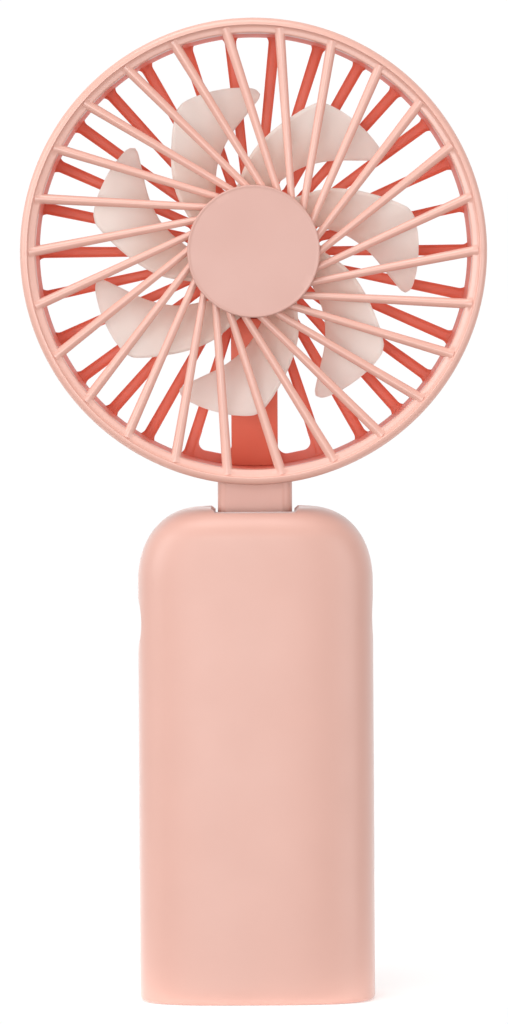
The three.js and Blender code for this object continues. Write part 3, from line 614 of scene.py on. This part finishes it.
def build_rear_grille(material):
    """The insert at the duct's rear: rim, ribs, closed middle with the motor's cup, wire channel."""
    rim_r, rim_back = REBATE_R - 0.1, BACK_Y - 0.1
    rim = lathe("rear_grille_insert", rounded([
        (BORE_R, INSERT_Y, 0.2), (rim_r, INSERT_Y, 0.1), (rim_r, rim_back, 0.25), (BORE_R, rim_back, 0.25),
    ]), HEAD_AXIS, FINE)
    back = BACK_Y - 0.2
    pitch = 360 / RIBS
    angles = [pitch * (k + 0.5) for k in range(RIBS)]
    ribs = [rib_piece(back, angle) for angle in angles if abs(angle - 180) > pitch * 0.6]
    groove_in, groove_out, groove_depth = GROOVE
    middle = lathe("middle", [
        (0, CORE_Y), (CORE_R - 0.5, CORE_Y), (CORE_R, CORE_Y + 0.4), (CORE_R, BACK_Y - 0.8),
        (CORE_R - 0.3, BACK_Y - 0.25), (CORE_R - 0.8, BACK_Y - 0.05), (groove_out, BACK_Y - 0.02),
        (groove_out - 0.3, BACK_Y - groove_depth), (groove_in + 0.3, BACK_Y - groove_depth),
        (groove_in, BACK_Y - 0.02), (0, BACK_Y),
    ], HEAD_AXIS, 120, closed=False)
    cup = lathe("cup", rounded([
        (CUP_BORE_R, CUP_Y, 0.3), (CORE_R - 0.1, CUP_Y, 0.3), (CORE_R - 0.1, CORE_Y + 0.3, 0),
        (CUP_BORE_R, CORE_Y + 0.3, 0),
    ]), HEAD_AXIS, 96)
    top = HEAD_Z - CORE_R + 1
    floor = prism("floor", rect(-CHANNEL_HALF, CHANNEL_HALF, HEAD_Z - BORE_R - 0.6, top),
                  (back - RIB_DEPTH, back), edge=0.3)
    sides = [
        prism("side", rect(x, x + CHANNEL_WALL, HEAD_Z - BORE_R + 0.7, top), (CHANNEL_FRONT, 13), edge=0.15)
        for x in (-CHANNEL_HALF, CHANNEL_HALF - CHANNEL_WALL)
    ]
    combine(rim, [middle, cup, floor, foot_piece(back)] + sides + ribs, "UNION")
    inside = CHANNEL_HALF - CHANNEL_WALL
    mouth = prism("mouth", rect(-inside, inside, HEAD_Z - CORE_R - 1.2, HEAD_Z - CUP_BORE_R + 0.8),
                  LEAD_MOUTH)
    combine(rim, [mouth], "DIFFERENCE")
    finish_piece(rim, "head", material, ["rear_grille"])


def foot_piece(back):
    """The strip inside the rim at the foot of the wire channel. The windows beside the channel
    have round corners where they meet it."""
    spread, outer, rib_half = math.radians(FOOT_SPREAD), BORE_R + 0.5, RIB_WIDTHS[1] / 2
    turns = [math.pi - spread + 2 * spread * k / 24 for k in range(25)]
    arc = [(outer * math.sin(t), HEAD_Z + outer * math.cos(t)) for t in turns]
    inner = [(FOOT_REACH * math.sin(t), HEAD_Z + FOOT_REACH * math.cos(t)) for t in reversed(turns)]
    foot = prism("foot", arc + inner, (back - 2.1, back - 0.05))
    across, along = (math.cos(spread), -math.sin(spread)), (math.sin(spread), math.cos(spread))
    windows = []
    for side in (-1, 1):
        rib = [(side * (r * along[0] - rib_half * across[0]), HEAD_Z - r * along[1] + rib_half * across[1])
               for r in (FOOT_R, WINDOW_R)]
        corners = [(side * CHANNEL_HALF, HEAD_Z - WINDOW_R, 0),
                   (side * CHANNEL_HALF, HEAD_Z - FOOT_R + 0.25, 1.9), (*rib[0], 1.7), (*rib[1], 0)]
        windows.append(prism("window", rounded(corners, 8), (back - 5, back + 3)))
    return combine(foot, windows, "DIFFERENCE")


def build_covers(material, neck_material):
    """The plate in front of the wire channel, with a curved foot, and the cover behind the neck."""
    low, high = cad_box("wire_channel_cover")
    foot = [(x, HEAD_Z - math.sqrt((BORE_R - 0.06) ** 2 - x ** 2)) for x in (-4.9, -2.5, 0, 2.5, 4.9)]
    cover = prism("wire_cover", foot + [(high.x, high.z), (low.x, high.z)], (low.y, high.y), edge=0.2)
    finish_piece(cover, "head", material, ["wire_channel_cover"])
    low, high = cad_box("neck_cover")
    plate = prism("neck_plate", rect(low.x, high.x, low.z, high.z, 0.6), (low.y, high.y), edge=0.25)
    hole = cylinder("hole", 1.1, (10, 13), NECK_SCREW, 24)
    combine(plate, [hole], "DIFFERENCE")
    finish_piece(plate, "head", neck_material, ["neck_cover"])


# ---------------------------------------------------------------- the impeller
def curve_through(places, count):
    """Evenly spaced points of a smooth curve through polar places in the head's plane."""
    knots = [Vector((r * math.sin(math.radians(d)), r * math.cos(math.radians(d)))) for r, d in places]
    knots = [knots[0] * 2 - knots[1]] + knots + [knots[-1] * 2 - knots[-2]]
    line, steps = [], 24
    for a, b, c, d in zip(knots, knots[1:], knots[2:], knots[3:]):
        for k in range(steps):
            t = k / steps
            line.append(0.5 * (2 * b + (c - a) * t + (2 * a - 5 * b + 4 * c - d) * t ** 2
                               + (3 * b - a - 3 * c + d) * t ** 3))
    line.append(knots[-2])
    run = [0.0]
    for p, q in zip(line, line[1:]):
        run.append(run[-1] + (q - p).length)
    points, i = [], 0
    for k in range(count + 1):
        goal = run[-1] * k / count
        while i < len(run) - 2 and run[i + 1] < goal:
            i += 1
        points.append(line[i].lerp(line[i + 1], (goal - run[i]) / (run[i + 1] - run[i])))
    return points


def blade_piece(turn):
    """One blade: a pitched skin stretched between its four sides, thinning to a soft edge."""
    across, out = BLADE_GRID
    front, rear = curve_through(BLADE_FRONT_SIDE, out), curve_through(BLADE_REAR_SIDE, out)
    tip = curve_through(BLADE_TIP, across)
    begin, end = BLADE_FRONT_SIDE[0][1], BLADE_REAR_SIDE[0][1]
    root = curve_through([(BLADE_ROOT_R, begin + (end - begin) * k / 4) for k in range(5)], across)
    middle = []
    for j in range(out + 1):
        t = j / out
        for i in range(across + 1):
            s = i / across
            corners = root[0].lerp(root[-1], s).lerp(tip[0].lerp(tip[-1], s), t)
            flat = front[j].lerp(rear[j], s) + root[i].lerp(tip[i], t) - corners
            y = BLADE_FRONT_Y + BLADE_PITCH_Y * s - BLADE_CAMBER * math.sin(math.pi * s)
            middle.append(Vector((flat.x, y, flat.y)))
    row = across + 1
    fronts, backs = [], []
    for j in range(out + 1):
        for i in range(across + 1):
            along = middle[j * row + min(across, i + 1)] - middle[j * row + max(0, i - 1)]
            outward = middle[min(out, j + 1) * row + i] - middle[max(0, j - 1) * row + i]
            normal = along.cross(outward).normalized()
            edge = min(i / across, 1 - i / across, 1 - j / out)
            soft = math.sqrt(max(0.0, 1 - max(0.0, 1 - edge / BLADE_SOFT) ** 2))
            half = BLADE_EDGE + BLADE_BODY * soft
            fronts.append(middle[j * row + i] + normal * half)
            backs.append(middle[j * row + i] - normal * half)
    count = len(fronts)
    faces = []
    for j in range(out):
        for i in range(across):
            a = j * row + i
            quad = (a, a + 1, a + row + 1, a + row)
            faces += [quad, tuple(count + v for v in reversed(quad))]
    rim = list(range(row)) + [j * row + across for j in range(1, out + 1)]
    rim += [out * row + across - k for k in range(1, across + 1)] + [j * row for j in range(out - 1, 0, -1)]
    faces += [(b, a, count + a, count + b) for a, b in zip(rim, rim[1:] + rim[:1])]
    return about_axis(mesh_object("blade", [tuple(p) for p in fronts + backs], faces), turn)


def build_impeller(material):
    hub = lathe("fan_impeller", rounded([
        (SHAFT_BORE_R, HUB_FRONT, 0.1), (HUB_R - 0.1, HUB_FRONT, 1.3), (HUB_R, HUB_BACK, 0.35),
        (HUB_BORE_R, HUB_BACK, 0.2), (HUB_BORE_R, HUB_WALL_Y, 0.2), (SHAFT_BORE_R, HUB_WALL_Y, 0.1),
    ]), HEAD_AXIS, 144)
    blades = [blade_piece(360 / BLADES * k) for k in range(BLADES)]
    combine(hub, blades, "UNION")
    finish_piece(hub, "impeller", material, ["impeller"], smooth=45)


# ---------------------------------------------------------------- the handle
def handle_rings(inset, top, count):
    """Sections of the handle's form from base to top: straight sides, wide shoulders in the
    front view and a softer edge in the side view."""
    reach_x, reach_z, power = SHOULDER
    levels = [inset + BASE_EDGE * (1 - math.cos(math.pi / 2 * k / 4)) for k in range(5)]
    low = top - reach_z + inset
    rows = round((low - levels[-1]) / ROW)
    levels += [levels[-1] + (low - levels[-1]) * k / rows for k in range(1, rows)]
    levels += [low + (top - low) * math.sin(math.pi / 2 * k / 26) for k in range(27)]
    rings = []
    for z in levels:
        a, b = HANDLE_A - inset, HANDLE_B - inset
        if z < inset + BASE_EDGE:
            drop = BASE_EDGE - math.sqrt(max(0.0, BASE_EDGE ** 2 - (BASE_EDGE + inset - z) ** 2))
            a, b = a - drop, b - drop
        if z > low:
            share = (z - low) / (top - low)
            a -= (reach_x - inset) * (1 - max(0.0, 1 - share ** power) ** (1 / power))
        edge = SOFT_EDGE - inset
        if z > top - edge:
            share = (z - (top - edge)) / edge
            b -= edge * (1 - math.sqrt(max(0.0, 1 - share ** 2)))
        rings.append([(x, y, z) for x, y in superellipse(a, b, SECTION_POWER, count)])
    return rings


def handle_form(name, inset, top, count=176):
    return loft(name, handle_rings(inset, top, count))


def handle_tools():
    """What is cut from both shells: the way for the neck and a scoop in each side."""
    far = HANDLE_B * 2
    notch = prism("notch", [(-SLOT_HALF, NOTCH_Z), (SLOT_HALF, NOTCH_Z), (SLOT_HALF + 2, NOTCH_Z + 2),
                            (-SLOT_HALF - 2, NOTCH_Z + 2)], (-far, far))
    slot = prism("slot", rect(-SLOT_HALF, SLOT_HALF, SLOT_FLOOR, HANDLE_TOP + 1), (SLOT_FRONT, far))
    scoops = [cylinder("scoop", radius, (-far, far), (x, z), 720) for x, z, radius in SCOOPS]
    return [notch, slot] + scoops


def build_handle(material):
    """Both shells: halves of one hollow form, with the key's slot in front of the parting line
    and the screw wells and the socket's mouth behind it."""
    for name, node, span in (
        ("front_shell", "handle_front_shell", (-30, PARTING_Y - PARTING_GAP)),
        ("rear_shell", "handle_rear_shell", (PARTING_Y + PARTING_GAP, 30)),
    ):
        shell = handle_form(name, 0.0, HANDLE_TOP)
        hollow = handle_form("hollow", WALL, HANDLE_TOP - ROOF, 96)
        combine(shell, [hollow] + handle_tools(), "DIFFERENCE")
        combine(shell, [prism("half", rect(-40, 40, -5, 130), span)], "INTERSECT")
        if name == "front_shell":
            key_slot = prism("key_slot", key_outline(KEY_SLOT_HALF, 2.7), (20, 30), "yz")
            combine(shell, [key_slot], "DIFFERENCE")
        else:
            wells = [cylinder("well", WELL_R, (5, 20), place, 40) for place in SHELL_SCREWS]
            mouth = prism("mouth", rect(-4.85, 4.85, SOCKET_Z - 2, SOCKET_Z + 2, 1.7), (8, 20))
            combine(shell, wells + [mouth], "DIFFERENCE")
        soften(shell, 0.16, 42)
        finish_piece(shell, "handle", material, [node], smooth=34)


def key_outline(half, radius):
    return rect(-half[0], half[0], BUTTON_Z - half[1], BUTTON_Z + half[1], radius)


def build_button(material):
    """The side key, with the flange that keeps it in and the stub that reaches the switch."""
    low, high = cad_box("power_button")
    key = prism("side_key", key_outline(KEY_HALF, 2.4), (KEY_BACK, high.x), "yz", edge=0.45, steps=5)
    flange = prism("flange", rect(-3.5, 3.5, low.z, high.z, 2.6), FLANGE_SPAN, "yz", edge=0.1)
    end = KEY_BACK + 0.1
    stub = lathe("stub", [(0, low.x), (1.9, low.x), (2.0, low.x + 0.2), (2.0, end), (0, end)],
                 (0, BUTTON_Z), 40, closed=False, axis="x")
    combine(key, [flange, stub], "UNION")
    finish_piece(key, "power_button", material, ["power_button"])


# ---------------------------------------------------------------- hardware
def screw_piece(name, node, centre, head_r, span, material, body):
    """A pan-head screw along Y with a cross recess; span is its tip, underside and top."""
    tip, under, top = span
    way = 1 if top > tip else -1
    profile = [(0, tip), (0.3, tip + way * 0.3), (0.8, tip + way * 0.9), (0.8, under), (head_r - 0.1, under),
               (head_r, under + way * 0.12), (head_r, top - way * 0.5), (head_r * 0.86, top - way * 0.2),
               (head_r * 0.6, top - way * 0.05), (0, top)]
    screw = lathe(name, profile, centre, 48, closed=False)
    x, z = centre
    recess = sorted((top - way * 0.6, top + way))
    cross = [
        prism("cross", rect(x - u, x + u, z - v, z + v, 0.06), recess)
        for u, v in ((head_r * 0.58, head_r * 0.14), (head_r * 0.14, head_r * 0.58))
    ]
    combine(screw, cross, "DIFFERENCE")
    finish_piece(screw, body, material, [node], smooth=30)


def build_screws(material):
    for x, z in SHELL_SCREWS:
        node = f"shell_screw_{'lower' if z < HANDLE_TOP / 2 else 'upper'}_{'left' if x < 0 else 'right'}"
        screw_piece(node + "_pan", node, (x, z), 1.8, (-4.0, 8.7, 9.9), material, "handle")
    screw_piece("neck_screw", "neck_cover_screw", NECK_SCREW, 1.85, (6.2, 12.05, 13.0), material, "head")


def build_socket(material, tongue_material):
    """The charging socket: a metal shell on two feet, and the tongue inside it."""
    low, high = cad_box("usb_c_socket")
    z = SOCKET_Z
    shell = prism("charge_socket", rect(low.x, high.x, z - 1.6, z + 1.6, 1.5), (6.6, high.y), edge=0.1)
    feet = prism("feet", rect(-3.6, 3.6, low.z, 6.6), (7, 12))
    combine(shell, [feet], "UNION")
    mouth = prism("mouth", rect(-4.15, 4.15, z - 1.25, z + 1.25, 1.15), (SOCKET_DEPTH, 15))
    combine(shell, [mouth], "DIFFERENCE")
    finish_piece(shell, "handle", material, ["usb_c_socket"])
    tongue = prism("socket_tongue", rect(-3.3, 3.3, z - 0.35, z + 0.35, 0.3), (SOCKET_DEPTH, 13.2),
                   edge=0.12)
    finish_piece(tongue, "handle", tongue_material, ["usb_c_socket"])


# ---------------------------------------------------------------- carried-over CAD nodes
def dress_nodes(materials):
    """Procedural materials on the CAD nodes that are shown as they are."""
    dressed = {
        "steel": ("stator_core", "front_bearing", "rear_bearing", "motor_screw_1", "motor_screw_2",
                  "motor_screw_3", "motor_shaft", "shaft_clip", "hinge_bracket", "hinge_pin",
                  "bracket_screw_left", "bracket_screw_right", "battery_tab_negative",
                  "battery_tab_positive"),
        "dark_steel": ("motor_tube", "rotor_cup"),
        "copper": ("stator_winding",),
        "magnet": ("magnet_ring",),
        "board": ("driver_board", "main_board", "charge_board"),
        "black": ("battery_cradle", "tact_switch"),
        "nylon": ("friction_washer_left", "friction_washer_right"),
        "wrap": ("battery_cell",),
        "lead": ("motor_lead",),
    }
    for key, nodes in dressed.items():
        for node in nodes:
            ob = frame["nodes"][node]
            for slot in ob.material_slots:
                slot.material = materials[key]


# ---------------------------------------------------------------- stage
LIGHT_AIM = (0, 0, 0.11)  # metres, as are the lights' places
ROOM_LIGHT, BACKDROP_LIGHT, SEEN_WHITE = 0.3, 0.95, 1.02
CAMERA_DISTANCE, CAMERA_ROLL = 1.163, 0.326  # metres and degrees
LENS, LENS_SHIFT = 191.05, -0.2547


def build_stage():
    """A pale sheet under and behind the object. It starts just in front of the handle, so that it
    throws little light up at the front."""
    sheet = rect(-220, 220, -17, 240)
    floor = mesh_object("studio_floor", [(x, y, -0.05) for x, y in sheet], [(0, 1, 2, 3)])
    material, tree, shader = node_material("paper")
    fibre = noise_node(tree, 40.0, 4.0)
    shade = colour_mix(tree, fibre.outputs["Fac"], (0.91, 0.91, 0.91), (0.94, 0.94, 0.94))
    tree.links.new(shade, shader.inputs["Base Color"])
    shader.inputs["Roughness"].default_value = 0.9
    shader.inputs["Emission Color"].default_value = (1, 1, 1, 1)
    shader.inputs["Emission Strength"].default_value = 0.3
    floor.data.materials.append(material)


def area_light(name, place_m, size_m, power):
    """A soft white light aimed at the middle of the object."""
    data = bpy.data.lights.new(name, "AREA")
    data.shape = "RECTANGLE"
    data.size, data.size_y = size_m
    data.energy = power
    ob = bpy.data.objects.new(name, data)
    ob.location = place_m
    ob.rotation_euler = (Vector(LIGHT_AIM) - Vector(place_m)).to_track_quat("-Z", "Y").to_euler()
    bpy.context.scene.collection.objects.link(ob)


def build_world():
    """White behind the object. What it lights with is a bright backdrop and a dimmer room."""
    world = bpy.data.worlds.new("studio")
    world.use_nodes = True
    tree = world.node_tree
    direction = tree.nodes.new("ShaderNodeTexCoord")
    split = tree.nodes.new("ShaderNodeSeparateXYZ")
    tree.links.new(direction.outputs["Generated"], split.inputs["Vector"])
    room = mapped(tree, split.outputs["Y"], ROOM_LIGHT, BACKDROP_LIGHT, 0.1, 0.5)
    path = tree.nodes.new("ShaderNodeLightPath")
    strength = mapped(tree, path.outputs["Is Camera Ray"], 0.0, SEEN_WHITE, 0.0, 1.0)
    tree.links.new(room, strength.node.inputs["To Min"])
    background = tree.nodes["Background"]
    background.inputs["Color"].default_value = (1, 1, 1, 1)
    tree.links.new(strength, background.inputs["Strength"])
    bpy.context.scene.world = world


def build_lights():
    area_light("key_left", (-1.25, -0.5, 0.5), (0.9, 1.0), 9)
    area_light("top", (-0.2, -0.4, 1.2), (0.9, 0.5), 6.5)
    area_light("front", (-0.25, -1.9, 0.17), (0.9, 0.6), 12)
    area_light("front_left", (-0.8, -1.6, 0.2), (1.0, 1.0), 3)
    area_light("front_right", (1.2, -1.0, 0.15), (1.0, 1.0), 8)


def build_camera():
    """A long lens level with the head, shifted down to take in the handle."""
    data = bpy.data.cameras.new("camera")
    data.lens = LENS
    data.sensor_width = 36.0
    data.shift_y = LENS_SHIFT
    camera = bpy.data.objects.new("camera", data)
    camera.location = (0.0001, -CAMERA_DISTANCE, HEAD_Z * MM)
    camera.rotation_euler = (math.radians(90), math.radians(CAMERA_ROLL), 0)
    bpy.context.scene.collection.objects.link(camera)
    bpy.context.scene.camera = camera


# ---------------------------------------------------------------- assembly
pink = moulded("pink_plastic", (0.695, 0.388, 0.318), 0.44, specular=0.8, sheen=0.6)
# painted highlight: the pink made lighter on the ring and spokes, which catch the light on their rounded
# edges
grille_pink_painted_highlight = moulded("grille_plastic_painted_highlight", (0.77, 0.428, 0.35), 0.34, specular=0.8)
# painted shade: the pink made darker on the cap, whose flat face takes the front light squarely
cap_pink_painted_shade = moulded("cap_plastic_painted_shade", (0.62, 0.35, 0.295), 0.4)
# painted shade: the pink plastic in the deep saturated colour it takes in shade, on the whole rear grille
# and the wire channel's plate
painted_shade_coral = moulded("painted_shade_coral_plastic", (0.92, 0.225, 0.14), 0.42, through=0.2)
# painted shade: the coral of the duct's shaded inside, on the lining
shade_lining = moulded("painted_shade_lining_plastic", (0.86, 0.25, 0.18), 0.5, specular=0.3)
# the second colour is painted warm bounce light on the blades' roots
blades = frosted("frosted_plastic_painted_bounce", (0.99, 0.98, 0.93), (0.97, 0.82, 0.73))
steel = plated("zinc_plate", (0.62, 0.63, 0.65), 0.32)
dark_steel = plated("dull_plate", (0.25, 0.26, 0.28), 0.45)
black = moulded("black_plastic", (0.02, 0.02, 0.022), 0.5)

build_camera()
build_world()
build_lights()
build_stage()
build_grille(grille_pink_painted_highlight)
build_cap(cap_pink_painted_shade)
build_duct(pink, shade_lining)
build_neck(pink)
# the rear grille and the wire channel's plate take the coral painted shade
build_rear_grille(painted_shade_coral)
build_covers(painted_shade_coral, pink)
build_impeller(blades)
build_handle(pink)
build_button(pink)
build_screws(steel)
build_socket(steel, black)
dress_nodes({
    "steel": steel,
    "dark_steel": dark_steel,
    "copper": wound_copper("copper_wire"),
    "magnet": moulded("ferrite", (0.05, 0.05, 0.055), 0.6),
    "board": solder_mask("solder_mask"),
    "black": black,
    "nylon": moulded("nylon", (0.78, 0.77, 0.72), 0.5),
    "wrap": moulded("cell_wrap", (0.06, 0.22, 0.5), 0.3),
    "lead": moulded("lead_insulation", (0.42, 0.03, 0.02), 0.45),
})

bpy.context.scene.view_settings.view_transform = "Standard"
bpy.context.scene.view_settings.look = "None"
